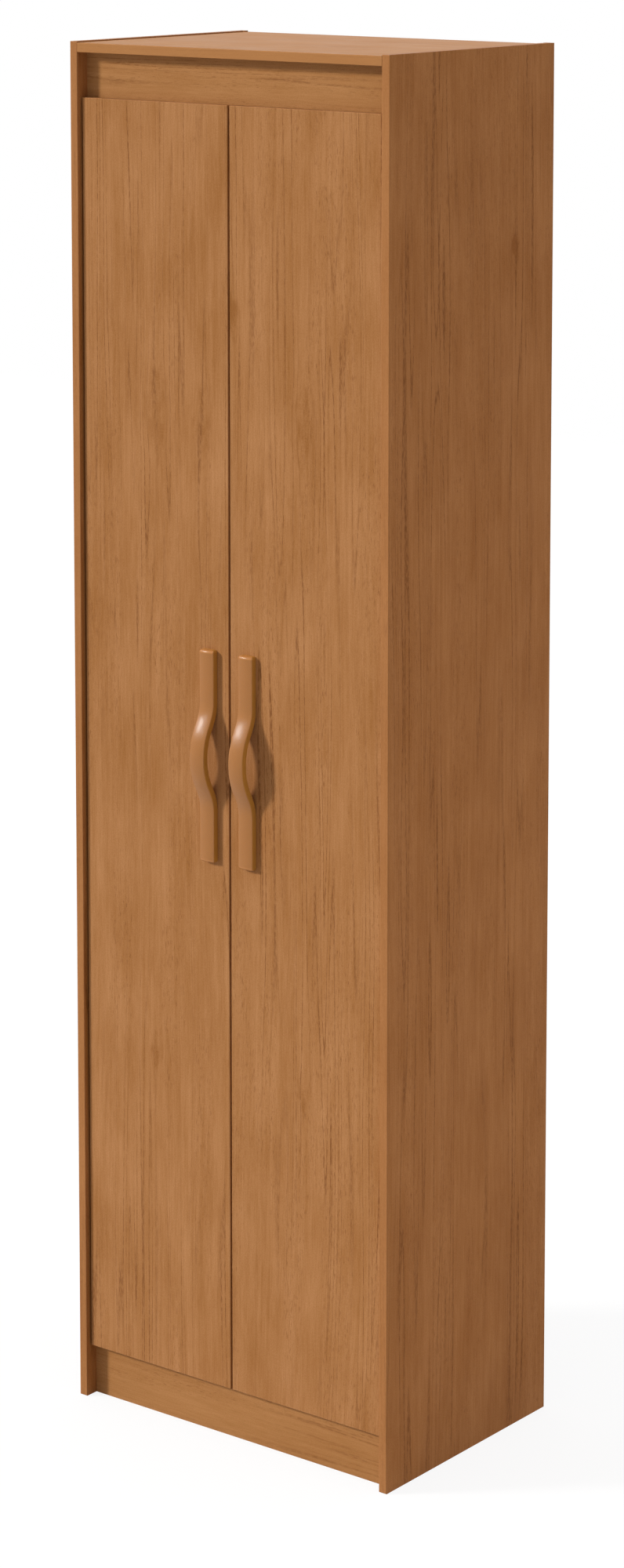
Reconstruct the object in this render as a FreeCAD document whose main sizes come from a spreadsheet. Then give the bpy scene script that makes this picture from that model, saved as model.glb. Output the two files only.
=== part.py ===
import FreeCAD, Part
import os
import re
import Sketcher

# A free-standing broom cupboard of coated board with two inset doors, each on three
# concealed cup hinges. X runs to the right, Y to the back and Z up. The origin is on
# the floor at the middle of the whole outline, handles included. Sizes are millimetres.

doc = FreeCAD.newDocument("BroomCupboard")
vector = FreeCAD.Vector

# Sizes that can each be set by themselves.
sizeTable = {
    # whole cupboard
    "cupboard_width": 510,
    "cupboard_depth": 346,
    "cupboard_height": 1800,
    "panel_thickness": 12,
    "arris_radius": 1,
    "top_set_down": 1.5,
    # fronts
    "door_thickness": 12,
    "door_setback": 6.4,
    "door_side_gap": 2.6,
    "door_centre_gap": 2.8,
    "door_foot_height": 69.5,
    "door_head_margin": 71.5,
    "rail_gap": 1,
    "rail_height": 70,
    "plinth_height": 75,
    # inside boards
    "inner_front_play": 1,
    "broom_width": 300,
    "upper_space": 370,
    "side_shelf_setback": 15,
    "side_shelf_play": 0.6,
    # back panels in their groove
    "back_thickness": 3,
    "back_inset": 8,
    "groove_depth": 6,
    "groove_play": 0.3,
    "back_rear_play": 1.2,
    "strip_height": 14,
    "strip_wall": 0.8,
    # dowels and cam fittings between the boards
    "joint_inset": 60,
    "dowel_diameter": 6,
    "dowel_length": 30,
    "dowel_in_face": 8,
    "fit_play": 0.04,
    "cam_diameter": 12,
    "cam_depth": 9.5,
    "cam_centre": 24,
    "cam_play": 0.1,
    "cam_bolt_diameter": 5,
    "cam_bolt_head": 6,
    "cam_bolt_head_length": 4,
    "pin_diameter": 5,
    "pin_length": 16,
    "pin_inset": 40,
    # handles
    "handle_length": 275,
    "handle_width": 22.6,
    "handle_thickness": 9.5,
    "handle_bow_length": 140,
    "handle_bow_rise": 20,
    "handle_foot_radius": 55,
    "handle_crest_radius": 100,
    "handle_end_radius": 4,
    "handle_edge_radius": 1.5,
    "handle_height": 901.5,
    "handle_edge_distance": 30,
    "handle_screw_spacing": 224,
    "handle_screw_diameter": 4,
    "handle_screw_grip": 7,
    "handle_screw_head": 7.6,
    "handle_screw_head_height": 2.2,
    # hinge cup
    "hinge_end_margin": 100,
    "cup_diameter": 26,
    "cup_depth": 10.2,
    "cup_wall": 0.8,
    "cup_floor": 0.8,
    "cup_edge_distance": 3.5,
    "cup_play": 0.1,
    "cup_pin_margin": 0.8,
    "flange_overlap": 1.4,
    "flange_thickness": 0.9,
    "wing_spacing": 38,
    "wing_diameter": 11,
    "wing_offset": 3,
    "cup_screw_diameter": 3,
    "cup_screw_length": 9,
    "cup_screw_head": 5.2,
    "cup_screw_head_height": 1.2,
    # hinge links: centres measured from the door's hinge-side back corner
    "link_pin_diameter": 1.6,
    "link_pin_play": 0.05,
    "inner_arm_out": 28.7,
    "inner_arm_back": 17.6,
    "inner_cup_out": 7.8,
    "inner_cup_forward": 2.2,
    "inner_knee_out": 12.6,
    "inner_knee_forward": 2.4,
    "outer_arm_out": 29.1,
    "outer_arm_back": 3.1,
    "outer_cup_out": 10.7,
    "outer_cup_forward": 5.1,
    "outer_knee_out": 13.6,
    "outer_knee_forward": 6.7,
    "open_eye_out": 0.3,
    "open_eye_back": 0.7,
    "open_eye_bore": 3.5,
    "open_eye_diameter": 5.2,
    "link_width": 2,
    "link_eye_diameter": 3.5,
    "link_sleeve_diameter": 4,
    "inner_link_plate": 1.4,
    "outer_link_width": 5.2,
    "link_side_play": 0.4,
    # hinge arm and mounting plate
    "arm_sheet": 1.2,
    "arm_cheek": 1,
    "arm_tip_radius": 1.5,
    "arm_nose": 4,
    "arm_tip": 2.2,
    "arm_lip": 3,
    "arm_screw_play": 0.2,
    "plate_setback": 37,
    "plate_wing_spacing": 32,
    "plate_wing_diameter": 13,
    "plate_wing_thickness": 2,
    "plate_rail_height": 9,
    "plate_rail_front": 12,
    "plate_rail_rear": 20,
    "plate_play": 0.3,
    "plate_screw_diameter": 3.2,
    "plate_screw_grip": 9,
    "plate_screw_head": 6,
    "plate_screw_head_height": 1.8,
    "arm_screw_diameter": 4,
    "arm_screw_grip": 6,
    "arm_screw_head": 6,
    "arm_screw_head_height": 1.6,
}

# Places worked out from the sizes, in the frame of the cupboard unless a comment says
# otherwise. Depths ending in _deep are measured back from the side panels' front edges.
placeTable = {
    "handle_reach": "handle_thickness + handle_bow_rise - door_setback",
    "front_y": "(handle_reach - cupboard_depth) / 2",
    "inner_half": "cupboard_width / 2 - panel_thickness",
    "inner_width": "cupboard_width - 2 * panel_thickness",
    "rail_deep": "door_setback + door_thickness + rail_gap",
    "door_back_deep": "door_setback + door_thickness",
    "shelf_deep": "door_back_deep + handle_screw_head_height + inner_front_play",
    "back_deep": "cupboard_depth - back_inset - back_thickness",
    "top_under": "cupboard_height - top_set_down - panel_thickness",
    "floor_top": "plinth_height + panel_thickness",
    "shelf_under": "top_under - upper_space - panel_thickness",
    "divider_left": "broom_width - inner_half",
    "side_bay_width": "inner_width - broom_width - panel_thickness",
    "groove_width": "back_thickness + 2 * groove_play",
    "back_reach": "groove_depth - groove_play",
    "strip_middle": "(plinth_height + top_under) / 2",
    "joint_rear_deep": "cupboard_depth - joint_inset",
    "joint_middle_deep": "cupboard_depth / 2",
    "rail_joint_deep": "rail_deep + panel_thickness / 2",
    "dowel_in_end": "dowel_length - dowel_in_face",
    "door_width": "inner_half - door_side_gap - door_centre_gap / 2",
    "door_height": "cupboard_height - door_head_margin - door_foot_height",
    "handle_x": "door_centre_gap / 2 + handle_edge_distance",
    # how far the poles of a bow's flank stand from its ends, which sets the radii there
    "bow_crest_reach": "sqrt(2 * handle_bow_rise * handle_crest_radius / 3)",
    "bow_foot_reach": "sqrt(2 * handle_bow_rise * handle_foot_radius / 3)",
    "hinge_low": "door_foot_height + hinge_end_margin",
    "hinge_middle": "door_foot_height + door_height / 2",
    "hinge_high": "door_foot_height + door_height - hinge_end_margin",
    # hinge plan, measured from the side panel's inner face and front edge
    "cup_out": "door_side_gap + cup_edge_distance + cup_diameter / 2",
    "inner_arm_x": "door_side_gap + inner_arm_out",
    "inner_arm_y": "door_back_deep + inner_arm_back",
    "inner_cup_x": "door_side_gap + inner_cup_out",
    "inner_cup_y": "door_back_deep - inner_cup_forward",
    "inner_knee_x": "door_side_gap + inner_knee_out",
    "inner_knee_y": "door_back_deep - inner_knee_forward",
    "outer_arm_x": "door_side_gap + outer_arm_out",
    "outer_arm_y": "door_back_deep + outer_arm_back",
    "outer_cup_x": "door_side_gap + outer_cup_out",
    "outer_cup_y": "door_back_deep - outer_cup_forward",
    "outer_knee_x": "door_side_gap + outer_knee_out",
    "outer_knee_y": "door_back_deep - outer_knee_forward",
    "plate_deep": "door_back_deep + plate_setback",
    "link_stack_half": "outer_link_width / 2 + link_side_play + inner_link_plate",
    "arm_inner_half": "outer_link_width / 2 + 2 * link_side_play + inner_link_plate",
    "arm_half": "outer_link_width / 2 + 2 * link_side_play + inner_link_plate + arm_cheek",
    "arm_top": "plate_rail_height + plate_play + arm_sheet",
    # half lengths of the cup's pins, whose ends lie in the cup's round wall
    "inner_pin_half": "sqrt((cup_diameter / 2)^2 - (cup_out - inner_cup_x)^2) - cup_pin_margin",
    "outer_pin_half": "sqrt((cup_diameter / 2)^2 - (cup_out - outer_cup_x)^2) - cup_pin_margin",
}


# Names of the tables become references to their cells.
def qualified(text):
    def reference(match):
        name = match.group(0)
        return ("Sizes." if name in sizeTable else "Places.") + name
    return re.sub(r"\b[a-z]+(?:_[a-z]+)+\b", reference, str(text))


sizes = doc.addObject("Spreadsheet::Sheet", "Sizes")
for row, (name, amount) in enumerate(sizeTable.items(), start=1):
    sizes.set(f"A{row}", name)
    sizes.set(f"B{row}", str(amount))
    sizes.setAlias(f"B{row}", name)

places = doc.addObject("Spreadsheet::Sheet", "Places")
for row, (name, formula) in enumerate(placeTable.items(), start=1):
    places.set(f"A{row}", name)
    places.setAlias(f"B{row}", name)
    places.set(f"B{row}", "=" + qualified(formula).replace("Places.", ""))
doc.recompute()


# Number that a formula gives now, for a sketch's first guess.
def number(text):
    return float(sizes.evalExpression(qualified(text)))


def bind(item, prop, text):
    item.setExpression(prop, qualified(text))


def newBody(label, at=("0", "0", "0")):
    body = doc.addObject("PartDesign::Body", label)
    body.Label = label
    for axis, text in zip("xyz", at):
        bind(body, f"Placement.Base.{axis}", text)
    return body


def originItem(body, role):
    return next(item for item in body.Origin.OriginFeatures if item.Role == role)


# A sketch on one of the body's own planes, lifted along that plane's normal:
# XY_Plane looks along +Z, XZ_Plane along -Y and YZ_Plane along +X.
def newSketch(body, plane, lift="0"):
    sketch = body.newObject("Sketcher::SketchObject", f"{body.Name}Sketch")
    sketch.AttachmentSupport = [(originItem(body, plane), "")]
    sketch.MapMode = "FlatFace"
    bind(sketch, "AttachmentOffset.Base.z", lift)
    return sketch


def dimension(sketch, text, kind, *where):
    index = sketch.addConstraint(Sketcher.Constraint(kind, *where, number(text)))
    bind(sketch, f"Constraints[{index}]", text)


def lockPoint(sketch, geometry, point, x, y):
    dimension(sketch, x, "DistanceX", -1, 1, geometry, point)
    dimension(sketch, y, "DistanceY", -1, 1, geometry, point)


def drawCircle(sketch, x, y, diameter):
    middle = vector(number(x), number(y), 0)
    circle = sketch.addGeometry(Part.Circle(middle, vector(0, 0, 1), number(diameter) / 2))
    lockPoint(sketch, circle, 3, x, y)
    dimension(sketch, diameter, "Diameter", circle)


# A closed outline of straight lines through points given as pairs of formulas.
def drawOutline(sketch, points):
    spots = [vector(number(x), number(y), 0) for x, y in points]
    lines = [
        sketch.addGeometry(Part.LineSegment(spot, spots[(place + 1) % len(spots)]))
        for place, spot in enumerate(spots)
    ]
    for place, line in enumerate(lines):
        follower = lines[(place + 1) % len(lines)]
        sketch.addConstraint(Sketcher.Constraint("Coincident", line, 2, follower, 1))
        lockPoint(sketch, line, 1, *points[place])


def drawRectangle(sketch, left, low, right, high):
    drawOutline(sketch, [(left, low), (right, low), (right, high), (left, high)])


# Which end of a line or arc lies at a place: 1 for its start, 2 for its end.
def endAt(sketch, geometry, spot):
    return min((1, 2), key=lambda end: sketch.getPoint(geometry, end).distanceToPoint(spot))


# A round-ended bar between two centres.
def drawSlot(sketch, start, end, diameter):
    first = vector(number(start[0]), number(start[1]), 0)
    last = vector(number(end[0]), number(end[1]), 0)
    along = (last - first).normalize()
    across = vector(-along.y, along.x, 0) * (number(diameter) / 2)
    bow = along * (number(diameter) / 2)
    startArc = sketch.addGeometry(Part.Arc(first + across, first - bow, first - across))
    endArc = sketch.addGeometry(Part.Arc(last - across, last + bow, last + across))
    lower = sketch.addGeometry(Part.LineSegment(first - across, last - across))
    upper = sketch.addGeometry(Part.LineSegment(last + across, first + across))
    for arc, line, lineEnd in (
        (startArc, lower, 1), (endArc, lower, 2), (endArc, upper, 1), (startArc, upper, 2),
    ):
        arcEnd = endAt(sketch, arc, sketch.getPoint(line, lineEnd))
        sketch.addConstraint(Sketcher.Constraint("Tangent", arc, arcEnd, line, lineEnd))
    lockPoint(sketch, startArc, 3, *start)
    lockPoint(sketch, endArc, 3, *end)
    dimension(sketch, f"({diameter}) / 2", "Radius", startArc)


def addPad(body, sketch, length, back=False):
    pad = body.newObject("PartDesign::Pad", f"{body.Name}Pad")
    pad.Profile = sketch
    pad.Reversed = back
    bind(pad, "Length", length)
    doc.recompute()
    return pad


# A cut that must take material away: toward the sketch's normal if forward is set.
def addPocket(body, sketch, depth, forward=False):
    before = body.Shape.Volume
    pocket = body.newObject("PartDesign::Pocket", f"{body.Name}Pocket")
    pocket.Profile = sketch
    pocket.Reversed = forward
    bind(pocket, "Length", depth)
    doc.recompute()
    if not body.Shape.Volume < before:
        raise RuntimeError(f"{body.Label}: a cut misses the solid")
    return pocket


# Edges of a feature whose ends both satisfy the test.
def edgesWhere(feature, test):
    return [
        f"Edge{place}" for place, edge in enumerate(feature.Shape.Edges, start=1)
        if all(test(vertex.Point) for vertex in edge.Vertexes)
    ]


def roundEdges(body, feature, test, radius):
    fillet = body.newObject("PartDesign::Fillet", f"{body.Name}Fillet")
    fillet.Base = (feature, edgesWhere(feature, test))
    bind(fillet, "Radius", radius)
    doc.recompute()
    return fillet


# A board with its low left front corner at the body's own origin.
def newBoard(label, at, length, depth, height):
    body = newBody(label, at)
    sketch = newSketch(body, "XY_Plane")
    drawRectangle(sketch, "0", "0", length, depth)
    return body, addPad(body, sketch, height)


# Lengths that agree to a thousandth of a millimetre.
def near(first, second):
    return abs(first - second) < 0.001


# Round bores of one depth, all from one plane of a body.
def drill(body, plane, lift, circles, depth, forward=False):
    sketch = newSketch(body, plane, lift)
    for x, y, diameter in circles:
        drawCircle(sketch, x, y, diameter)
    addPocket(body, sketch, depth, forward)


def mirrored(label, source):
    twin = doc.addObject("Part::Mirroring", label)
    twin.Label = label
    twin.Source = source
    twin.Normal = (1, 0, 0)
    twin.Base = (0, 0, 0)
    return twin


def gathered(label, members):
    group = doc.addObject("Part::Compound", label)
    group.Label = label
    group.Links = members
    return group


# A cylinder along X, Y or Z, from its start centre toward the positive axis.
def newRod(label, axis, at, diameter, length):
    rod = doc.addObject("Part::Cylinder", label)
    bind(rod, "Radius", f"({diameter}) / 2")
    bind(rod, "Height", length)
    turns = {"x": (vector(0, 1, 0), 90), "y": (vector(1, 0, 0), -90), "z": (vector(0, 0, 1), 0)}
    rod.Placement.Rotation = FreeCAD.Rotation(*turns[axis])
    for name, text in zip("xyz", at):
        bind(rod, f"Placement.Base.{name}", text)
    return rod


def joined(label, members):
    whole = doc.addObject("Part::MultiFuse", label)
    whole.Label = label
    whole.Shapes = members
    return whole


nodes = []
jointY = {"front": "joint_inset", "middle": "joint_middle_deep", "rear": "joint_rear_deep"}
topMiddle = "top_under + panel_thickness / 2"
floorMiddle = "plinth_height + panel_thickness / 2"
shelfMiddle = "shelf_under + panel_thickness / 2"
dowelBore = "dowel_diameter + 2 * fit_play"
boltBore = "cam_bolt_diameter + 2 * fit_play"
headBore = "cam_bolt_head + 2 * cam_play"
camBore = "cam_diameter + 2 * cam_play"
pinBore = "pin_diameter + 2 * fit_play"
pinSpots = ["shelf_deep + side_shelf_setback + pin_inset", "back_deep - back_rear_play - pin_inset"]
shelfNames = ["lower", "middle", "upper"]


# Underside of one of the side shelves, which share the bay's height evenly.
def shelfHeight(step):
    return f"floor_top + (shelf_under - floor_top) * {step} / {len(shelfNames) + 1}"


def pinHeight(step):
    return f"{shelfHeight(step)} - pin_diameter / 2"


# Centres of the shelf pins in the side bay: each one's place back and its height.
def pinPlaces():
    return [(spot, pinHeight(step)) for spot in pinSpots
            for step, name in enumerate(shelfNames, start=1)]


hingeHeights = {"low": "hinge_low", "middle": "hinge_middle", "high": "hinge_high"}
plateScrewHeights = [
    f"{height} {sign} plate_wing_spacing / 2"
    for height in hingeHeights.values() for sign in "-+"
]


# Left-hand side panel: its inner face looks toward +X.
def sidePanel(label, at, withPins):
    body, block = newBoard(label, at, "panel_thickness", "cupboard_depth", "cupboard_height")
    roundEdges(body, block, lambda p: near(p.y, 0), "arris_radius")
    inner = "panel_thickness"
    bolts = [(jointY[where], level, boltBore)
             for where in ("front", "rear") for level in (topMiddle, floorMiddle)]
    drill(body, "YZ_Plane", inner, bolts, "dowel_in_face")
    dowels = [(jointY["middle"], topMiddle, dowelBore), (jointY["middle"], floorMiddle, dowelBore)]
    dowels += [(jointY[where], shelfMiddle, dowelBore) for where in ("front", "rear")]
    dowels.append(("rail_joint_deep", "top_under - rail_height / 2", dowelBore))
    dowels.append(("rail_joint_deep", "plinth_height / 2", dowelBore))
    drill(body, "YZ_Plane", inner, dowels, "dowel_in_face")
    screws = [("plate_deep", level, "plate_screw_diameter + 2 * fit_play")
              for level in plateScrewHeights]
    drill(body, "YZ_Plane", inner, screws, "plate_screw_grip")
    if withPins:
        pins = [(spot, level, pinBore) for spot, level in pinPlaces()]
        drill(body, "YZ_Plane", inner, pins, "pin_length / 2")
    groove = newSketch(body, "XY_Plane")
    drawRectangle(groove, "panel_thickness - groove_depth", "back_deep - groove_play",
                  "panel_thickness", "back_deep - groove_play + groove_width")
    addPocket(body, groove, "cupboard_height", forward=True)
    return body


leftSide = sidePanel("side_panel_left", ("-cupboard_width / 2", "front_y", "0"), False)
rightSideMould = sidePanel("RightSideMould", ("-cupboard_width / 2", "front_y", "0"), True)
nodes.append(leftSide)
nodes.append(mirrored("side_panel_right", rightSideMould))


# Bores in both ends of a board that runs between the sides.
def endBores(body, length, circles, depth):
    drill(body, "YZ_Plane", "0", circles, depth, forward=True)
    drill(body, "YZ_Plane", length, circles, depth)


# Horizontal board with cams from below at front and rear, and a dowel between them.
def camBoard(label, deep, depth, height, rounded):
    body, block = newBoard(label, ("-inner_half", f"front_y + {deep}", height),
                           "inner_width", depth, "panel_thickness")
    if rounded:
        roundEdges(body, block, lambda p: near(p.y, 0) and near(p.z, number("panel_thickness")),
                   "arris_radius")
    middle = "panel_thickness / 2"
    bolts = [(f"{jointY[where]} - ({deep})", middle, headBore) for where in ("front", "rear")]
    endBores(body, "inner_width", bolts, "cam_centre + cam_bolt_head_length")
    cams = [(x, f"{jointY[where]} - ({deep})", camBore)
            for where in ("front", "rear") for x in ("cam_centre", "inner_width - cam_centre")]
    drill(body, "XY_Plane", "0", cams, "cam_depth + cam_play", forward=True)
    endBores(body, "inner_width", [(f"{jointY['middle']} - ({deep})", middle, dowelBore)],
             "dowel_in_end")
    return body


topPanel = camBoard("top_panel", "0", "cupboard_depth", "top_under", True)
topGroove = newSketch(topPanel, "XY_Plane")
drawRectangle(topGroove, "0", "back_deep - groove_play",
              "inner_width", "back_deep - groove_play + groove_width")
addPocket(topPanel, topGroove, "groove_depth", forward=True)
nodes.append(topPanel)
bottomPanel = camBoard("bottom_panel", "rail_deep", "back_deep - rail_deep", "plinth_height", False)
nodes.append(bottomPanel)

for label, low, height in (
    ("top_rail", "top_under - rail_height", "rail_height"), ("plinth", "0", "plinth_height"),
):
    rail, railBlock = newBoard(label, ("-inner_half", "front_y + rail_deep", low),
                               "inner_width", "panel_thickness", height)
    endBores(rail, "inner_width", [("panel_thickness / 2", f"{height} / 2", dowelBore)],
             "dowel_in_end")
    nodes.append(rail)

# Fixed shelf across the whole width, with bores below for the divider's dowels.
dividerMiddle = "broom_width + panel_thickness / 2"
fixedShelf, shelfBlock = newBoard(
    "fixed_shelf", ("-inner_half", "front_y + shelf_deep", "shelf_under"),
    "inner_width", "back_deep - shelf_deep", "panel_thickness")
endBores(fixedShelf, "inner_width",
         [(f"{jointY[where]} - shelf_deep", "panel_thickness / 2", dowelBore)
          for where in ("front", "rear")], "dowel_in_end")
drill(fixedShelf, "XY_Plane", "0",
      [(dividerMiddle, f"{jointY[where]} - shelf_deep", dowelBore)
       for where in ("front", "rear")], "dowel_in_face", forward=True)
nodes.append(fixedShelf)
drill(bottomPanel, "XY_Plane", "panel_thickness",
      [(dividerMiddle, f"{jointY[where]} - rail_deep", dowelBore)
       for where in ("front", "rear")], "dowel_in_face")

# Divider between the broom space and the side shelves.
dividerHeight = "shelf_under - floor_top"
divider, dividerBlock = newBoard(
    "divider", ("divider_left", "front_y + shelf_deep", "floor_top"),
    "panel_thickness", "back_deep - shelf_deep - back_rear_play", dividerHeight)
for lift, forward in (("0", True), (dividerHeight, False)):
    drill(divider, "XY_Plane", lift,
          [("panel_thickness / 2", f"{jointY[where]} - shelf_deep", dowelBore)
           for where in ("front", "rear")], "dowel_in_end", forward)
drill(divider, "YZ_Plane", "panel_thickness",
      [(f"{spot} - shelf_deep", f"{level} - floor_top", pinBore)
       for spot, level in pinPlaces()], "pin_length / 2")
nodes.append(divider)

# Loose side shelves, each on four pins.
for step, name in enumerate(shelfNames, start=1):
    shelf, block = newBoard(
        f"side_shelf_{name}",
        ("divider_left + panel_thickness + side_shelf_play",
         "front_y + shelf_deep + side_shelf_setback", shelfHeight(step)),
        "side_bay_width - 2 * side_shelf_play",
        "back_deep - shelf_deep - side_shelf_setback - back_rear_play", "panel_thickness")
    nodes.append(shelf)
nodes.append(gathered("shelf_pins", [
    newRod("ShelfPin", "x", (f"{wall} - pin_length / 2", f"front_y + {spot}", level),
           "pin_diameter", "pin_length")
    for spot, level in pinPlaces() for wall in ("divider_left + panel_thickness", "inner_half")]))

# Back: two thin panels in the grooves, joined by a strip of H section.
stripMiddleGap = "strip_wall / 2"
backPanels = {
    "back_panel_lower": ("plinth_height", f"strip_middle - {stripMiddleGap}"),
    "back_panel_upper": (f"strip_middle + {stripMiddleGap}", "top_under + back_reach"),
}
for label, (low, high) in backPanels.items():
    panel, block = newBoard(label, ("-inner_half - back_reach", "front_y + back_deep", low),
                            "inner_width + 2 * back_reach", "back_thickness", f"{high} - ({low})")
    nodes.append(panel)
strip = newBody("back_joint_strip",
                ("-inner_half + groove_play", "front_y + back_deep", "strip_middle"))
stripSketch = newSketch(strip, "YZ_Plane")
flangeOut, flangeIn = "-strip_wall", "back_thickness + strip_wall"
half, wall = "strip_height / 2", "strip_wall / 2"
drawOutline(stripSketch, [
    (flangeOut, f"-{half}"), ("0", f"-{half}"), ("0", f"-{wall}"),
    ("back_thickness", f"-{wall}"), ("back_thickness", f"-{half}"), (flangeIn, f"-{half}"),
    (flangeIn, half), ("back_thickness", half), ("back_thickness", wall),
    ("0", wall), ("0", half), (flangeOut, half)])
addPad(strip, stripSketch, "inner_width - 2 * groove_play")
nodes.append(strip)

# Dowels and cam fittings.
dowels = []
for side in (-1, 1):
    start = "-inner_half - dowel_in_face" if side < 0 else "inner_half - dowel_in_end"
    spots = [(jointY["middle"], topMiddle), (jointY["middle"], floorMiddle),
             (jointY["front"], shelfMiddle), (jointY["rear"], shelfMiddle),
             ("rail_joint_deep", "top_under - rail_height / 2"),
             ("rail_joint_deep", "plinth_height / 2")]
    for deep, level in spots:
        dowels.append(newRod("Dowel", "x", (start, f"front_y + {deep}", level),
                             "dowel_diameter", "dowel_length"))
for where in ("front", "rear"):
    for low in ("floor_top - dowel_in_face", "shelf_under - dowel_in_end"):
        dowels.append(newRod("Dowel", "z", ("divider_left + panel_thickness / 2",
                                            f"front_y + {jointY[where]}", low),
                             "dowel_diameter", "dowel_length"))
nodes.append(gathered("dowels", dowels))

cams, bolts = [], []
for side in (-1, 1):
    for where in ("front", "rear"):
        deep = f"front_y + {jointY[where]}"
        for under, level in (("top_under", topMiddle), ("plinth_height", floorMiddle)):
            camX = f"{side} * (inner_half - cam_centre)"
            disc = newRod("CamDisc", "z", (camX, deep, under), "cam_diameter", "cam_depth")
            mouth = doc.addObject("Part::Box", "CamMouth")
            bind(mouth, "Length", "cam_diameter")
            bind(mouth, "Width", "cam_bolt_head + 2 * cam_play")
            bind(mouth, "Height", "cam_depth")
            reach = "cam_bolt_head_length"
            left = f"-{reach}" if side > 0 else f"{reach} - cam_diameter"
            bind(mouth, "Placement.Base.x", f"{camX} + {left}")
            bind(mouth, "Placement.Base.y", f"{deep} - cam_bolt_head / 2 - cam_play")
            bind(mouth, "Placement.Base.z", f"{level} - cam_bolt_head / 2 - cam_play")
            cam = doc.addObject("Part::Cut", "Cam")
            cam.Base = disc
            cam.Tool = mouth
            cams.append(cam)
            shankStart = "-inner_half - dowel_in_face" if side < 0 else "inner_half - cam_centre"
            shank = newRod("BoltShank", "x", (shankStart, deep, level),
                           "cam_bolt_diameter", "dowel_in_face + cam_centre")
            headStart = f"{camX} - cam_bolt_head_length / 2"
            head = newRod("BoltHead", "x", (headStart, deep, level),
                          "cam_bolt_head", "cam_bolt_head_length")
            bolts.append(joined("CamBolt", [shank, head]))
nodes.append(gathered("cam_locks", cams))
nodes.append(gathered("cam_bolts", bolts))


# Left door: its low front corner on the hinge side is at the body's origin.
doorX = "-inner_half + door_side_gap"
door, doorBlock = newBoard("left_door", (doorX, "front_y + door_setback", "door_foot_height"),
                           "door_width", "door_thickness", "door_height")
roundEdges(door, doorBlock, lambda p: near(p.y, 0), "arris_radius")
doorBack = "-door_thickness"
cupX = "cup_edge_distance + cup_diameter / 2"
wingX = f"{cupX} + wing_offset"
flangeDiameter = "cup_diameter + 2 * flange_overlap"
hingeLevels = [f"{height} - door_foot_height" for height in hingeHeights.values()]
drill(door, "XZ_Plane", doorBack,
      [(cupX, level, "cup_diameter + 2 * cup_play") for level in hingeLevels],
      "cup_depth + cup_play", forward=True)
drill(door, "XZ_Plane", doorBack,
      [(cupX, level, f"{flangeDiameter} + 2 * cup_play") for level in hingeLevels],
      "flange_thickness + cup_play", forward=True)
for level in hingeLevels:
    wingRecess = newSketch(door, "XZ_Plane", doorBack)
    drawSlot(wingRecess, (wingX, f"{level} - wing_spacing / 2"),
             (wingX, f"{level} + wing_spacing / 2"), "wing_diameter + 2 * cup_play")
    addPocket(door, wingRecess, "flange_thickness + cup_play", forward=True)
drill(door, "XZ_Plane", doorBack,
      [(wingX, f"{level} {sign} wing_spacing / 2", "cup_screw_diameter + 2 * fit_play")
       for level in hingeLevels for sign in "-+"], "cup_screw_length + cup_play", forward=True)
handleX = "door_width - handle_edge_distance"
handleLevel = "handle_height - door_foot_height"
drill(door, "XZ_Plane", doorBack,
      [(handleX, f"{handleLevel} {sign} handle_screw_spacing / 2",
        "handle_screw_diameter + 2 * fit_play") for sign in "-+"], "door_thickness", forward=True)
nodes.append(door)
nodes.append(mirrored("right_door", door))


# A smooth cubic curve through four poles given as pairs of formulas.
def drawCurve(sketch, poles):
    curve = Part.BSplineCurve()
    curve.buildFromPolesMultsKnots(
        [vector(number(x), number(y), 0) for x, y in poles], [4, 4], [0, 1], False, 3)
    line = sketch.addGeometry(curve)
    sketch.exposeInternalGeometry(line)
    for place, pole in enumerate(poles, start=1):
        lockPoint(sketch, line + place, 3, *pole)
    return line


# Bow handle: a flat bar swept along a foot, an outward curve, a crest and back down.
# Its body's origin is on the door's face at the middle of its length.
def bowHandle():
    body = newBody("left_handle", ("-handle_x", "front_y + door_setback", "handle_height"))
    spine = newSketch(body, "YZ_Plane")
    middle = "-handle_thickness / 2"
    crest = f"{middle} - handle_bow_rise"
    bowEnd, barEnd = "handle_bow_length / 2", "handle_length / 2"
    for sign in ("-", ""):
        flank = drawCurve(spine, [
            (crest, "0"), (crest, f"{sign}bow_crest_reach"),
            (middle, f"{sign}({bowEnd} - bow_foot_reach)"), (middle, f"{sign}{bowEnd}")])
        foot = spine.addGeometry(Part.LineSegment(
            vector(number(middle), number(f"{sign}{bowEnd}"), 0),
            vector(number(middle), number(f"{sign}{barEnd}"), 0)))
        spine.addConstraint(Sketcher.Constraint("Coincident", flank, 2, foot, 1))
        lockPoint(spine, foot, 2, middle, f"{sign}{barEnd}")
    section = newSketch(body, "XY_Plane", f"-{barEnd}")
    drawRectangle(section, "-handle_width / 2", "-handle_thickness", "handle_width / 2", "0")
    bar = body.newObject("PartDesign::AdditivePipe", "HandleBar")
    bar.Profile = section
    bar.Spine = (spine, [])
    doc.recompute()
    front, end = -number("handle_thickness"), number(barEnd)
    ends = roundEdges(body, bar, lambda p: near(p.y, front) and near(abs(p.z), end),
                      "handle_end_radius")
    side, lip = number("handle_width / 2"), -number("handle_edge_radius")
    roundEdges(body, ends, lambda p: near(abs(p.x), side) and p.y < lip, "handle_edge_radius")
    drill(body, "XZ_Plane", "0",
          [("0", f"{sign}handle_screw_spacing / 2", "handle_screw_diameter + 2 * fit_play")
           for sign in ("-", "")], "handle_screw_grip", forward=True)
    return body


handle = bowHandle()
nodes.append(handle)
nodes.append(mirrored("right_handle", handle))


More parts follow.
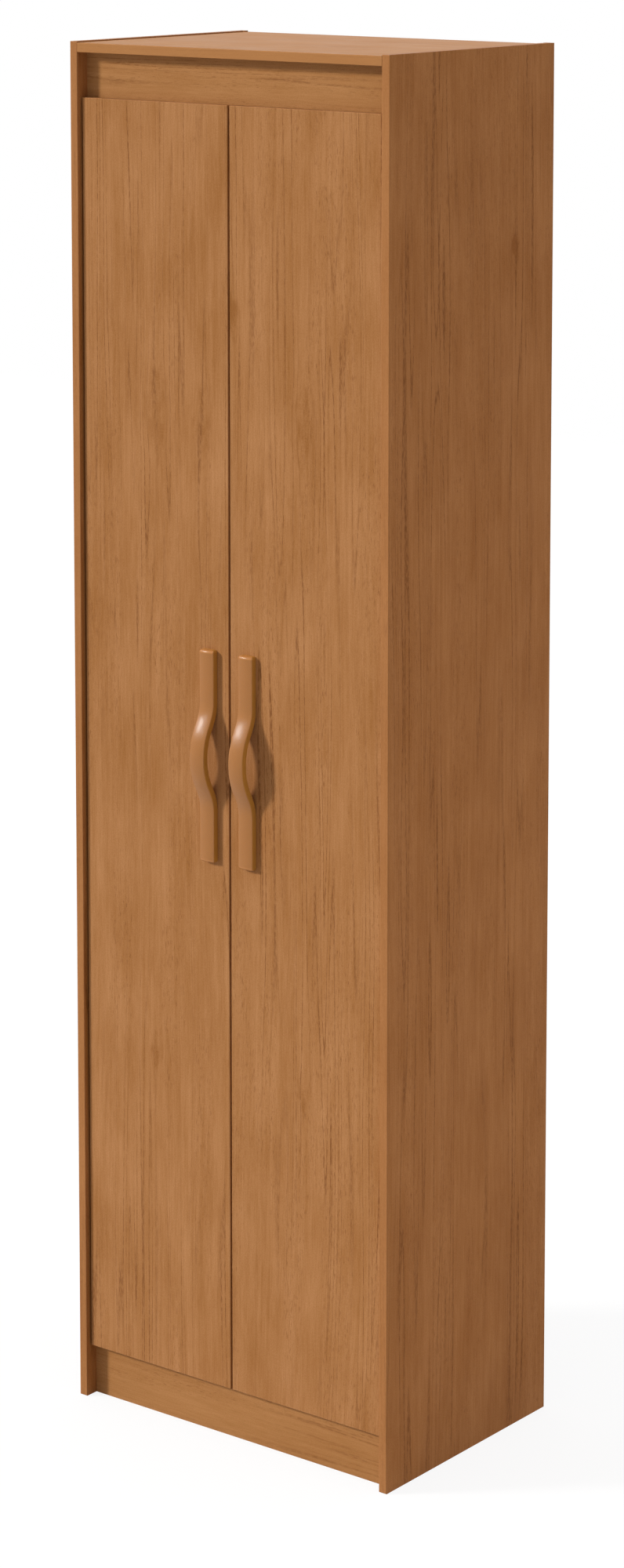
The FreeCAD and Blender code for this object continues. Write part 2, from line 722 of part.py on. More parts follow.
# A screw along one axis: its head's seat is at the given place and its shank runs on
# from there, toward the positive axis if forward is set.
def newScrew(axis, at, diameter, length, headDiameter, headHeight, forward):
    place = "xyz".index(axis)
    shankAt, headAt = list(at), list(at)
    if forward:
        headAt[place] = f"{at[place]} - ({headHeight})"
    else:
        shankAt[place] = f"{at[place]} - ({length})"
    shank = newRod("ScrewShank", axis, shankAt, diameter, length)
    head = newRod("ScrewHead", axis, headAt, headDiameter, headHeight)
    return joined("Screw", [shank, head])


leftHandleScrews = [
    newScrew("y", ("-handle_x", "front_y + door_back_deep",
                   f"handle_height {sign} handle_screw_spacing / 2"),
             "handle_screw_diameter", "door_thickness + handle_screw_grip",
             "handle_screw_head", "handle_screw_head_height", forward=False)
    for sign in "-+"
]
nodes.append(gathered("left_handle_screws", leftHandleScrews))
nodes.append(mirrored("right_handle_screws", nodes[-1]))


# Hinge pieces of the left door. Each body's origin is at the side panel's inner face,
# level with the side panel's front edge and with the middle of the hinge.
def newHingeBody(label, height):
    return newBody(label, ("-inner_half", "front_y", height))


# Mounting plate: a slotted wing above and below a raised rail that carries the arm.
def mountingPlate(height):
    body = newHingeBody("MountingPlate", height)
    wings = newSketch(body, "YZ_Plane")
    drawSlot(wings, ("plate_deep", "-plate_wing_spacing / 2"),
             ("plate_deep", "plate_wing_spacing / 2"), "plate_wing_diameter")
    addPad(body, wings, "plate_wing_thickness")
    rail = newSketch(body, "YZ_Plane")
    drawRectangle(rail, "plate_deep - plate_rail_front", "plate_play - arm_inner_half",
                  "plate_deep + plate_rail_rear", "arm_inner_half - plate_play")
    addPad(body, rail, "plate_rail_height")
    drill(body, "YZ_Plane", "plate_wing_thickness",
          [("plate_deep", f"{sign}plate_wing_spacing / 2", "plate_screw_diameter + 2 * fit_play")
           for sign in ("-", "")], "plate_wing_thickness")
    drill(body, "YZ_Plane", "plate_rail_height",
          [("plate_deep", "0", "arm_screw_diameter + 2 * fit_play")], "arm_screw_grip")
    return body


# Arm: a folded channel that sits over the rail and reaches forward, past the door's
# back, to the two link pins. Its web is on the side away from the side panel.
def hingeArm(height):
    body = newHingeBody("HingeArm", height)
    outline = newSketch(body, "XY_Plane", "-arm_half")
    heel, toe = "plate_deep + plate_rail_rear", "plate_deep - plate_rail_front"
    low = "plate_wing_thickness + plate_play"
    drawOutline(outline, [
        (low, heel), (low, f"{toe} - arm_lip"),
        ("inner_arm_x - arm_nose", "inner_arm_y"),
        ("outer_arm_x - arm_nose", "outer_arm_y"),
        ("outer_arm_x - arm_tip", "outer_arm_y - arm_tip"),
        ("outer_arm_x + arm_tip", "outer_arm_y - arm_tip"),
        ("outer_arm_x + arm_nose", "inner_arm_y - arm_nose"),
        ("outer_arm_x + arm_nose", "inner_arm_y + arm_nose"),
        ("arm_top", f"{toe} + arm_nose"), ("arm_top", heel),
    ])
    cheek = addPad(body, outline, "2 * arm_half")
    front = number("outer_arm_y")
    roundEdges(body, cheek, lambda p: p.y < front, "arm_tip_radius")
    channel = newSketch(body, "XY_Plane", "-arm_inner_half")
    drawOutline(channel, [
        (low, heel), (low, "outer_arm_y - arm_tip"),
        ("outer_arm_x + arm_nose", "outer_arm_y - arm_tip"),
        ("outer_arm_x + arm_nose", "inner_arm_y - arm_nose"),
        ("outer_arm_x + arm_nose - arm_sheet", "inner_arm_y - arm_nose"),
        ("outer_arm_x + arm_nose - arm_sheet", "inner_arm_y + arm_nose - arm_sheet"),
        ("arm_top - arm_sheet", f"{toe} + arm_nose - arm_sheet"), ("arm_top - arm_sheet", heel),
    ])
    addPocket(body, channel, "2 * arm_inner_half", forward=True)
    drill(body, "XY_Plane", "arm_half",
          [(f"{link}_arm_x", f"{link}_arm_y", "link_pin_diameter + fit_play")
           for link in ("inner", "outer")], "2 * arm_half")
    drill(body, "YZ_Plane", "arm_top",
          [("plate_deep", "0", "arm_screw_diameter + 2 * arm_screw_play")], "arm_sheet")
    return body


def bar(body, start, end, width, low, thickness):
    sketch = newSketch(body, "XY_Plane", low)
    drawSlot(sketch, start, end, width)
    addPad(body, sketch, thickness)


def eye(body, centre, diameter, low, thickness):
    sketch = newSketch(body, "XY_Plane", low)
    drawCircle(sketch, *centre, diameter)
    addPad(body, sketch, thickness)


# Inner link: two cranked plates joined by a sleeve round the arm's pin.
def innerLink(height):
    body = newHingeBody("InnerLink", height)
    arm, cup, knee = [(f"inner_{place}_x", f"inner_{place}_y") for place in ("arm", "cup", "knee")]
    eye(body, arm, "link_sleeve_diameter", "-link_stack_half", "2 * link_stack_half")
    for low in ("-link_stack_half", "link_stack_half - inner_link_plate"):
        bar(body, arm, knee, "link_width", low, "inner_link_plate")
        bar(body, knee, cup, "link_width", low, "inner_link_plate")
        eye(body, cup, "link_eye_diameter", low, "inner_link_plate")
    drill(body, "XY_Plane", "link_stack_half",
          [(*spot, "link_pin_diameter + 2 * link_pin_play") for spot in (arm, cup)],
          "2 * link_stack_half")
    return body


# Outer link: one cranked bar between the inner link's plates. Its eye on the arm's pin
# is wide, and the pin moves about in it as the door turns.
def outerLink(height):
    body = newHingeBody("OuterLink", height)
    wide = ("outer_arm_x + open_eye_out", "outer_arm_y + open_eye_back")
    cup, knee = [(f"outer_{place}_x", f"outer_{place}_y") for place in ("cup", "knee")]
    low = "-outer_link_width / 2"
    eye(body, wide, "open_eye_diameter", low, "outer_link_width")
    bar(body, wide, knee, "link_width", low, "outer_link_width")
    bar(body, knee, cup, "link_width", low, "outer_link_width")
    eye(body, cup, "link_eye_diameter", low, "outer_link_width")
    drill(body, "XY_Plane", "outer_link_width / 2",
          [(*wide, "open_eye_bore"), (*cup, "link_pin_diameter + 2 * link_pin_play")],
          "outer_link_width")
    return body


# Cup with its flange and screw wings let in flush with the door's back.
def hingeCup(height):
    body = newHingeBody("HingeCup", height)
    back = "-door_back_deep"
    rim = newSketch(body, "XZ_Plane", back)
    drawCircle(rim, "cup_out", "0", flangeDiameter)
    addPad(body, rim, "flange_thickness")
    wings = newSketch(body, "XZ_Plane", back)
    drawSlot(wings, ("cup_out + wing_offset", "-wing_spacing / 2"),
             ("cup_out + wing_offset", "wing_spacing / 2"), "wing_diameter")
    addPad(body, wings, "flange_thickness")
    bowl = newSketch(body, "XZ_Plane", back)
    drawCircle(bowl, "cup_out", "0", "cup_diameter")
    addPad(body, bowl, "cup_depth")
    drill(body, "XZ_Plane", back, [("cup_out", "0", "cup_diameter - 2 * cup_wall")],
          "cup_depth - cup_floor", forward=True)
    drill(body, "XZ_Plane", back,
          [("cup_out + wing_offset", f"{sign}wing_spacing / 2",
            "cup_screw_diameter + 2 * fit_play") for sign in ("-", "")],
          "flange_thickness", forward=True)
    for link in ("inner", "outer"):
        drill(body, "XY_Plane", f"{link}_pin_half",
              [(f"{link}_cup_x", f"{link}_cup_y", "link_pin_diameter + fit_play")],
              f"2 * {link}_pin_half")
    return body


def pinRod(link, place, height, half):
    return newRod("LinkPin", "z", (f"{link}_{place}_x - inner_half", f"front_y + {link}_{place}_y",
                                   f"{height} - {half}"), "link_pin_diameter", f"2 * {half}")


levels = list(hingeHeights.values())
plateX = "plate_wing_thickness - inner_half"
hingeNodes = {
    "hinge_plates": [mountingPlate(level) for level in levels],
    "plate_screws": [
        newScrew("x", (plateX, "front_y + plate_deep", level), "plate_screw_diameter",
                 "plate_wing_thickness + plate_screw_grip", "plate_screw_head",
                 "plate_screw_head_height", forward=False) for level in plateScrewHeights],
    "hinge_arms": [hingeArm(level) for level in levels],
    "arm_screws": [
        newScrew("x", ("arm_top - inner_half", "front_y + plate_deep", level),
                 "arm_screw_diameter", "arm_top - plate_rail_height + arm_screw_grip",
                 "arm_screw_head", "arm_screw_head_height", forward=False) for level in levels],
    "arm_pins": [pinRod(link, "arm", level, "arm_half")
                 for level in levels for link in ("inner", "outer")],
    "inner_links": [innerLink(level) for level in levels],
    "outer_links": [outerLink(level) for level in levels],
    "hinge_cups": [hingeCup(level) for level in levels],
    "cup_screws": [
        newScrew("y", ("cup_out + wing_offset - inner_half", "front_y + door_back_deep",
                       f"{level} {sign} wing_spacing / 2"), "cup_screw_diameter",
                 "cup_screw_length", "cup_screw_head", "cup_screw_head_height", forward=False)
        for level in levels for sign in "-+"],
    "cup_pins": [pinRod(link, "cup", level, f"{link}_pin_half")
                 for level in levels for link in ("inner", "outer")],
}
for name, members in hingeNodes.items():
    nodes.append(gathered(f"left_{name}", members))
    nodes.append(mirrored(f"right_{name}", nodes[-1]))

doc.recompute()
for item in doc.Objects:
    if {"Invalid", "Error"} & set(item.State):
        raise RuntimeError(f"{item.Label} failed: {item.State}")
os.makedirs("parts", exist_ok=True)
for node in nodes:
    if node.Shape.isNull() or not node.Shape.isValid():
        raise RuntimeError(f"{node.Label} has no valid shape")
    node.Shape.exportStep(f"parts/{node.Label}.step")
    print(f"{node.Label}: {len(node.Shape.Solids)} solids, {node.Shape.Volume:.0f} mm3")
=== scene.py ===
import bpy
import math
import numpy as np
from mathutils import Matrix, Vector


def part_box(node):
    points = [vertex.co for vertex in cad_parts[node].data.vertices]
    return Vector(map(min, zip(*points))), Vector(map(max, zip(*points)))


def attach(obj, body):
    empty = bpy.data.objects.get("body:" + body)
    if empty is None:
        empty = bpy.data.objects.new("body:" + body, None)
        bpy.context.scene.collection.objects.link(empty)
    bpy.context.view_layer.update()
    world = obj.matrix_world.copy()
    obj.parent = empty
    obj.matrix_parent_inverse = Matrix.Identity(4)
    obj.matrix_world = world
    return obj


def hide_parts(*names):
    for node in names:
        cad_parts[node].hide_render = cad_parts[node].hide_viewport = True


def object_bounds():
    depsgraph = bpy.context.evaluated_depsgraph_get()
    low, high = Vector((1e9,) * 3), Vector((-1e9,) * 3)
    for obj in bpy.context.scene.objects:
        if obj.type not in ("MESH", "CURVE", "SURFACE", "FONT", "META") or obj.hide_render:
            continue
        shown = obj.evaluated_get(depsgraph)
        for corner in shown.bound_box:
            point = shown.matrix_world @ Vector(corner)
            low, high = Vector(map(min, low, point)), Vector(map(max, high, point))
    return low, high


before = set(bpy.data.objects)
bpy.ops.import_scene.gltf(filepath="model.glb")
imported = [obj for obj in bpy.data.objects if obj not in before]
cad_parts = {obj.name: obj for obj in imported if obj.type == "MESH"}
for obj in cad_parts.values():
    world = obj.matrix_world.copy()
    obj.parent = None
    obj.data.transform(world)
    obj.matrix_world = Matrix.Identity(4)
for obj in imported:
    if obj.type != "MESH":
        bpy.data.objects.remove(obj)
cadCorners = [list(corner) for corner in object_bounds()]
print("frame loaded:", len(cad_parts), "nodes")


# Colour given as 0-255 display values, turned into the linear values that shaders take.
def tint(red, green, blue):
    def linear(value):
        value /= 255
        return value / 12.92 if value <= 0.04045 else ((value + 0.055) / 1.055) ** 2.4
    return (linear(red), linear(green), linear(blue), 1)


# A colour with each channel brought down to a share of itself.
def dimmed(color, share):
    return tuple(channel * share for channel in color[:3]) + (1,)


# A node with its settings, and its inputs set to values or joined to other sockets.
def addNode(tree, kind, inputs=None, **settings):
    node = tree.nodes.new("ShaderNode" + kind)
    for name, value in settings.items():
        setattr(node, name, value)
    for name, value in (inputs or {}).items():
        if isinstance(value, bpy.types.NodeSocket):
            tree.links.new(value, node.inputs[name])
        else:
            node.inputs[name].default_value = value
    return node


def calc(tree, operation, *values):
    return addNode(tree, "Math", dict(enumerate(values)), operation=operation).outputs[0]


def vectorCalc(tree, operation, first, second):
    return addNode(tree, "VectorMath", {0: first, 1: second}, operation=operation).outputs[0]


def scaled(tree, vector, factors):
    return vectorCalc(tree, "MULTIPLY", vector, factors)


def noise(tree, vector, detail=2.0, roughness=0.5, output="Fac"):
    return addNode(tree, "TexNoise", {"Vector": vector, "Scale": 1.0, "Detail": detail,
                                      "Roughness": roughness}).outputs[output]


# Runs smoothly from one value to another while the input runs from low to high.
def ramp(tree, value, low, high, start=0.0, end=1.0):
    return addNode(tree, "MapRange", {"Value": value, "From Min": low, "From Max": high,
                                      "To Min": start, "To Max": end},
                   interpolation_type="SMOOTHSTEP").outputs["Result"]


# Blend of two colours; 6, 7 and 2 are the numbers of the node's colour sockets.
def mixColor(tree, factor, first, second):
    node = addNode(tree, "Mix", {0: factor, 6: first, 7: second}, data_type="RGBA")
    return node.outputs[2]


# Middle value plus each noise's swing about its own middle times its share.
def swings(tree, middle, *shares):
    total = middle
    for value, share in shares:
        total = calc(tree, "MULTIPLY_ADD", calc(tree, "SUBTRACT", value, 0.5), share, total)
    return total


# A shader group with named inputs and outputs; fill(tree, inputs) returns its outputs.
def newGroup(name, inputs, outputs, fill):
    tree = bpy.data.node_groups.new(name, "ShaderNodeTree")
    for way, sockets in (("INPUT", inputs), ("OUTPUT", outputs)):
        for label, kind in sockets.items():
            tree.interface.new_socket(name=label, in_out=way, socket_type="NodeSocket" + kind)
    given = tree.nodes.new("NodeGroupInput").outputs
    result = tree.nodes.new("NodeGroupOutput")
    for label, socket in fill(tree, given).items():
        tree.links.new(socket, result.inputs[label])
    return tree


def useGroup(tree, group, inputs):
    return addNode(tree, "Group", inputs, node_tree=group).outputs


knotForm = {
    "alongShare": 0.33,
    "bowOut": 0.55,
    "ragScale": (120.0, 120.0, 45.0),   # waves per metre
    "ragged": 2.2,
    "darkTo": 0.8,                      # share of the knot's size
}


# Knot: the grain bows out round a spot and darkens at it. Distances along the grain (Z)
# count for a third, so the knot is a tall oval.
def fillKnot(tree, given):
    k = knotForm
    away = vectorCalc(tree, "SUBTRACT", given["Vector"], given["Spot"])
    oval = scaled(tree, away, (1.0, 1.0, k["alongShare"]))
    far = addNode(tree, "VectorMath", {0: oval}, operation="LENGTH").outputs["Value"]
    share = calc(tree, "DIVIDE", far, given["Size"])
    near = ramp(tree, share, 0.0, 1.0, start=1.0, end=0.0)
    pull = scaled(tree, away, (-k["bowOut"], -k["bowOut"], 0.0))
    pull = addNode(tree, "VectorMath", {0: pull, "Scale": near}, operation="SCALE").outputs[0]
    rag = noise(tree, scaled(tree, given["Vector"], k["ragScale"]), detail=3.0)
    ragged = swings(tree, share, (rag, k["ragged"]))
    dark = ramp(tree, ragged, 0.0, k["darkTo"], start=1.0, end=0.0)
    dark = calc(tree, "MULTIPLY", dark, given["Strength"])
    return {"Vector": vectorCalc(tree, "ADD", given["Vector"], pull),
            "Dark": calc(tree, "ADD", given["Dark"], dark)}


knot = newGroup("knot", {"Vector": "Vector", "Spot": "Vector", "Size": "Float",
                         "Strength": "Float", "Dark": "Float"},
                {"Vector": "Vector", "Dark": "Float"}, fillKnot)

foilGrain = {
    "layers": {                         # waves per metre across and along, and detail
        "clouds": (13.0, 8.0, 2.0),
        "patches": (44.0, 7.0, 3.0),
        "streaks": (190.0, 4.5, 3.0),
        "fibres": (600.0, 40.0, 2.0),
        "specks": (1000.0, 500.0, 1.0),
        "lines": (44.0, 0.5, 1.0),
        "chosen": (27.0, 1.4, 2.0),
        "dots": (650.0, 120.0, 1.0),
        "bands": (30.0, 2.6, 1.0),
        "flecks": (850.0, 100.0, 1.0),
    },
    "straight": ("clouds", "specks", "dots", "bands"),      # layers that don't bend
    "bendScale": (6.0, 6.0, 1.4),
    "bend": 0.03,                       # metres sideways over the noise's whole range
    "tone": {"clouds": 0.8, "patches": 0.6, "streaks": 0.7, "fibres": 0.7, "specks": 0.9},
    "lineCount": 9,
    "line": (0.0, 0.5, 1.0, 0.0),       # ramp from low to high, and its values there
    "chosen": (0.4, 0.66),
    "dots": (0.38, 0.6, 0.3, 1.0),
    "bands": (0.44, 0.62),
    "flecks": (0.58, 0.72),
    "fleckShare": 0.6,
    "knotTone": 0.55,
    "knotPores": 0.3,
    "fibreHeight": 0.3,
    "poreRough": 0.12,
    "patchRough": 0.12,
}


# Wood foil: soft clouds and patches, faint streaks and fibres, thin dotted lines of pores
# that run the whole length and loose flecks in bands. A line lies wherever the sine of
# pi times the line layer times the line count is near nought. The vector is in metres,
# with the grain along its Z.
def fillGrain(tree, given):
    g = foilGrain
    place = given["Vector"]
    bend = noise(tree, scaled(tree, place, g["bendScale"]), detail=1.0, output="Color")
    bend = vectorCalc(tree, "SUBTRACT", bend, (0.5, 0.5, 0.5))
    bent = vectorCalc(tree, "ADD", place, scaled(tree, bend, (g["bend"], g["bend"], 0.0)))
    layer = {label: noise(tree, scaled(tree, place if label in g["straight"] else bent,
                                       (across, across, along)), detail)
             for label, (across, along, detail) in g["layers"].items()}
    wave = calc(tree, "SINE", calc(tree, "MULTIPLY", layer["lines"], math.pi * g["lineCount"]))
    line = ramp(tree, calc(tree, "ABSOLUTE", wave), *g["line"])
    chosen, dots, bands, flecks = (ramp(tree, layer[label], *g[label])
                                   for label in ("chosen", "dots", "bands", "flecks"))
    line = calc(tree, "MULTIPLY", calc(tree, "MULTIPLY", line, chosen), dots)
    flecks = calc(tree, "MULTIPLY", calc(tree, "MULTIPLY", flecks, bands), g["fleckShare"])
    pores = calc(tree, "MULTIPLY", calc(tree, "MAXIMUM", line, flecks), given["Contrast"])
    tone = swings(tree, 0.0, *((layer[label], share) for label, share in g["tone"].items()))
    tone = calc(tree, "MULTIPLY_ADD", tone, given["Contrast"], 0.5)
    tone = calc(tree, "SUBTRACT", tone, calc(tree, "MULTIPLY", given["Knots"], g["knotTone"]))
    color = mixColor(tree, tone, given["Dark"], given["Light"])
    pores = calc(tree, "MAXIMUM", pores, calc(tree, "MULTIPLY", given["Knots"], g["knotPores"]))
    color = mixColor(tree, calc(tree, "MULTIPLY", pores, given["Pores"]), color, given["Pore"])
    height = calc(tree, "SUBTRACT", calc(tree, "MULTIPLY", layer["fibres"], g["fibreHeight"]), pores)
    rough = swings(tree, calc(tree, "MULTIPLY", pores, g["poreRough"]),
                   (layer["patches"], g["patchRough"]))
    return {"Color": color, "Height": height, "Rough": rough}


boardGrain = newGroup(
    "boardGrain",
    {"Vector": "Vector", "Light": "Color", "Dark": "Color", "Pore": "Color", "Pores": "Float",
     "Contrast": "Float", "Knots": "Float"},
    {"Color": "Color", "Height": "Float", "Rough": "Float"}, fillGrain)

chipboard = {"chipScale": 700.0, "light": tint(205, 172, 126), "dark": tint(150, 112, 72)}


# Raw chipboard: small flat chips in a few browns.
def fillChips(tree, given):
    chips = addNode(tree, "TexVoronoi", {"Vector": given["Vector"], "Scale": chipboard["chipScale"]})
    shade = addNode(tree, "SeparateColor", {0: chips.outputs["Color"]}).outputs[0]
    return {"Color": mixColor(tree, shade, chipboard["dark"], chipboard["light"])}


rawBoard = newGroup("rawBoard", {"Vector": "Vector"}, {"Color": "Color"}, fillChips)

markForm = {"scale": (14.0, 14.0, 9.0), "detail": 4.0, "roughness": 0.62}


# Handling marks: broad soft patches that change the gloss a little.
def fillMarks(tree, given):
    patch = noise(tree, scaled(tree, given["Vector"], markForm["scale"]), markForm["detail"],
                  markForm["roughness"])
    return {"Value": calc(tree, "MULTIPLY", calc(tree, "SUBTRACT", patch, 0.5), given["Amount"])}


handlingMarks = newGroup("handlingMarks", {"Vector": "Vector", "Amount": "Float"},
                         {"Value": "Float"}, fillMarks)

ridgeTop = 0.7      # a knurl ridge is flat where its sine is over this


# Crossed knurl on a strip's own UV map, in millimetres: the lower of two sets of slanting
# ridges, |sin(pi (u / across + v / along))| and |sin(pi (u / across - v / along))|.
def fillKnurl(tree, given):
    parts = addNode(tree, "SeparateXYZ", {0: given["Vector"]})
    across = calc(tree, "DIVIDE", parts.outputs[0], given["Across"])
    along = calc(tree, "DIVIDE", parts.outputs[1], given["Along"])
    ridges = []
    for operation in ("ADD", "SUBTRACT"):
        phase = calc(tree, "MULTIPLY", calc(tree, operation, across, along), math.pi)
        ridges.append(calc(tree, "ABSOLUTE", calc(tree, "SINE", phase)))
    return {"Height": ramp(tree, calc(tree, "MINIMUM", *ridges), 0.0, ridgeTop)}


knurl = newGroup("knurl", {"Vector": "Vector", "Across": "Float", "Along": "Float"},
                 {"Height": "Float"}, fillKnurl)
print("shader groups made")


def emptyMaterial(name):
    material = bpy.data.materials.new(name)
    material.use_nodes = True
    material.node_tree.nodes.clear()
    return material, material.node_tree


# A material with its Principled BSDF; plain numbers go straight on the shader's sockets.
def newMaterial(name, **values):
    material, tree = emptyMaterial(name)
    shader = addNode(tree, "BsdfPrincipled", values)
    addNode(tree, "OutputMaterial", {"Surface": shader.outputs[0]})
    return material, tree, shader


def addBump(tree, shader, height, distance):
    bump = addNode(tree, "Bump", {"Height": height, "Distance": distance, "Strength": 1.0})
    tree.links.new(bump.outputs[0], shader.inputs["Normal"])


# Place in metres, which moves with the piece.
def objectPlace(tree):
    return addNode(tree, "TexCoord").outputs["Object"]


# Place carried to another stretch of the pattern, turned about Y for grain along X.
def movedPlace(tree, place, shift, turn=0.0):
    return addNode(tree, "Mapping", {"Vector": place, "Location": shift,
                                     "Rotation": (0, turn, 0)}).outputs[0]


# How far back a place lies, along Y.
def depthOf(tree, place):
    return addNode(tree, "SeparateXYZ", {0: place}).outputs["Y"]


boardFoil = {
    "light": tint(180, 128, 83),
    "dark": tint(148, 96, 48),
    "pore": tint(112, 64, 28),
    "poreStrength": 0.75,
    "bandTint": tint(170, 118, 74),     # plain strip on the edges that face forward
    "bandShare": 0.45,
    "bandWidth": 0.0008,
    "jointTint": tint(104, 64, 32),     # fine line where strip and face meet
    "jointShare": 0.6,
    "jointHalf": 0.00013,               # half its width
    "rawDepth": 0.0002,                 # bare edge at the rear
    "roughness": 0.46,
    "marks": 0.18,
    "specular": 0.07,
    "bump": 0.00004,
}


# Wood foil on one board. Its grain runs along Z, or along X where lying is set. Behind
# rawFrom its rear edge is bare chipboard, and in front of bandTo its front edge has a
# plain strip. Knots are given as place, size and strength, and tones as light and dark.
def boardMaterial(name, shift, lying=False, rawFrom=None, bandTo=None, knots=(), contrast=1.0,
                  tones=None):
    foil = boardFoil
    light, dark = tones or (foil["light"], foil["dark"])
    material, tree, shader = newMaterial(name, **{"Specular IOR Level": foil["specular"]})
    source = objectPlace(tree)
    bent, knotShare = source, 0.0
    for spot, size, strength in knots:
        found = useGroup(tree, knot, {"Vector": bent, "Spot": spot, "Size": size,
                                      "Strength": strength, "Dark": knotShare})
        bent, knotShare = found["Vector"], found["Dark"]
    place = movedPlace(tree, bent, shift, math.pi / 2 if lying else 0.0)
    grain = useGroup(tree, boardGrain, {
        "Vector": place, "Light": light, "Dark": dark, "Pore": foil["pore"],
        "Pores": foil["poreStrength"], "Contrast": contrast, "Knots": knotShare})
    color = grain["Color"]
    deep = depthOf(tree, source)
    if bandTo is not None:
        plain = mixColor(tree, foil["bandShare"], color, foil["bandTint"])
        color = mixColor(tree, calc(tree, "LESS_THAN", deep, bandTo), color, plain)
        joint = calc(tree, "COMPARE", deep, bandTo, foil["jointHalf"])
        color = mixColor(tree, calc(tree, "MULTIPLY", joint, foil["jointShare"]), color,
                         foil["jointTint"])
    if rawFrom is not None:
        bare = calc(tree, "GREATER_THAN", deep, rawFrom)
        chips = useGroup(tree, rawBoard, {"Vector": source})
        color = mixColor(tree, bare, color, chips["Color"])
    tree.links.new(color, shader.inputs["Base Color"])
    marks = useGroup(tree, handlingMarks, {"Vector": source, "Amount": foil["marks"]})["Value"]
    rough = calc(tree, "ADD", calc(tree, "ADD", marks, grain["Rough"]), foil["roughness"])
    tree.links.new(rough, shader.inputs["Roughness"])
    addBump(tree, shader, grain["Height"], foil["bump"])
    return material


def dress(node, material):
    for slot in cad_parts[node].material_slots:
        slot.material = material


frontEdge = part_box("side_panel_left")[0][1] + boardFoil["bandWidth"]
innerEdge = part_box("divider")[0][1] + boardFoil["bandWidth"]
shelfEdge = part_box("side_shelf_lower")[0][1] + boardFoil["bandWidth"]
rearEdge = cadCorners[1][1] - boardFoil["rawDepth"]
# Painted light and shade: the side panels take a darker, more saturated copy of the foil's tones,
# matched to the side in shade, and the top panel a copy with a lighter dark tone, matched to the lit
# top.
shadedSideTones = (tint(174, 117, 69), tint(144, 87, 37))
litTopTones = (tint(180, 126, 73), tint(160, 106, 57))
railTones = (tint(181, 130, 82), tint(153, 102, 54))
boards = {
    "side_panel_left": {"shift": (0.31, 0.12, 0.4), "rawFrom": rearEdge, "bandTo": frontEdge,
                        "tones": shadedSideTones, "knots": [((-0.255, 0.02, 1.12), 0.02, 0.5)]},
    "side_panel_right": {"shift": (1.73, 0.55, 0.2), "rawFrom": rearEdge, "bandTo": frontEdge,
                         "tones": shadedSideTones, "knots": [((0.255, 0.0997, 1.5491), 0.013, 0.9)]},
    "top_panel": {"shift": (0.4, 2.2, 1.1), "lying": True, "rawFrom": rearEdge,
                  "bandTo": frontEdge, "contrast": 0.5, "tones": litTopTones},
    "bottom_panel": {"shift": (1.4, 3.1, 0.5), "lying": True, "bandTo": innerEdge},
    "top_rail": {"shift": (2.6, 1.3, 0.9), "lying": True, "contrast": 0.85, "tones": railTones},
    "plinth": {"shift": (3.3, 0.7, 0.3), "lying": True, "contrast": 0.85, "tones": railTones},
    "fixed_shelf": {"shift": (4.1, 0.2, 1.9), "lying": True, "bandTo": innerEdge},
    "side_shelf_lower": {"shift": (5.2, 0.9, 0.1), "lying": True, "bandTo": shelfEdge},
    "side_shelf_middle": {"shift": (6.1, 1.9, 0.6), "lying": True, "bandTo": shelfEdge},
    "side_shelf_upper": {"shift": (7.4, 0.3, 1.2), "lying": True, "bandTo": shelfEdge},
    "divider": {"shift": (2.2, 0.8, 1.5), "bandTo": innerEdge},
    "left_door": {"shift": (3.05, 1.6, 0.35), "knots": [
        ((-0.193, -0.155, 1.4523), 0.012, 0.3), ((-0.1218, -0.155, 1.3407), 0.03, 0.4),
        ((-0.1258, -0.155, 0.4935), 0.014, 0.6), ((-0.044, -0.155, 1.3286), 0.024, 0.35)]},
    "right_door": {"shift": (4.61, 2.4, 0.9), "knots": [
        ((0.0052, -0.155, 1.4651), 0.014, 0.55), ((0.121, -0.155, 1.3407), 0.028, 0.35),
        ((0.117, -0.155, 0.4935), 0.014, 0.6)]},
}
for node, look in boards.items():
    dress(node, boardMaterial(node + "Foil", **look))
print("boards dressed:", len(boards))


hardboard = {
    "shift": (5.7, 1.1, 0.8),
    "poreStrength": 0.4,
    "foilDepth": 0.0005,
    "light": tint(158, 118, 80),        # pressed fibre
    "dark": tint(116, 80, 50),
    "fibreScale": 900.0,
    "fibreTone": 0.88,
    "cloudScale": 30.0,
    "cloudTone": 0.12,
    "toneRange": (0.3, 0.7),
    "roughness": 0.5,
    "rougherBehind": 0.3,
    "specular": 0.25,
    "bump": 0.00012,
}


# Thin hardboard: foil on the side that faces the room, brown pressed fibre behind.
def backMaterial():
    h = hardboard
    material, tree, shader = newMaterial("backHardboard", **{"Specular IOR Level": h["specular"]})
    source = objectPlace(tree)
    grain = useGroup(tree, boardGrain, {
        "Vector": movedPlace(tree, source, h["shift"]), "Light": boardFoil["light"],
        "Dark": boardFoil["dark"], "Pore": boardFoil["pore"], "Pores": h["poreStrength"],
        "Contrast": 1.0, "Knots": 0.0})
    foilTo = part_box("back_panel_lower")[0][1] + h["foilDepth"]
    behind = calc(tree, "GREATER_THAN", depthOf(tree, source), foilTo)
    fibres = noise(tree, scaled(tree, source, (h["fibreScale"],) * 3), detail=3.0, roughness=0.7)
    cloud = noise(tree, scaled(tree, source, (h["cloudScale"],) * 3))
    tone = swings(tree, 0.5, (fibres, h["fibreTone"]), (cloud, h["cloudTone"]))
    pressed = mixColor(tree, ramp(tree, tone, *h["toneRange"]), h["dark"], h["light"])
    tree.links.new(mixColor(tree, behind, grain["Color"], pressed), shader.inputs["Base Color"])
    tree.links.new(calc(tree, "MULTIPLY_ADD", behind, h["rougherBehind"], h["roughness"]),
                   shader.inputs["Roughness"])
    addBump(tree, shader, calc(tree, "MULTIPLY", fibres, behind), h["bump"])
    return material


backBoard = backMaterial()
for node in ("back_panel_lower", "back_panel_upper"):
    dress(node, backBoard)


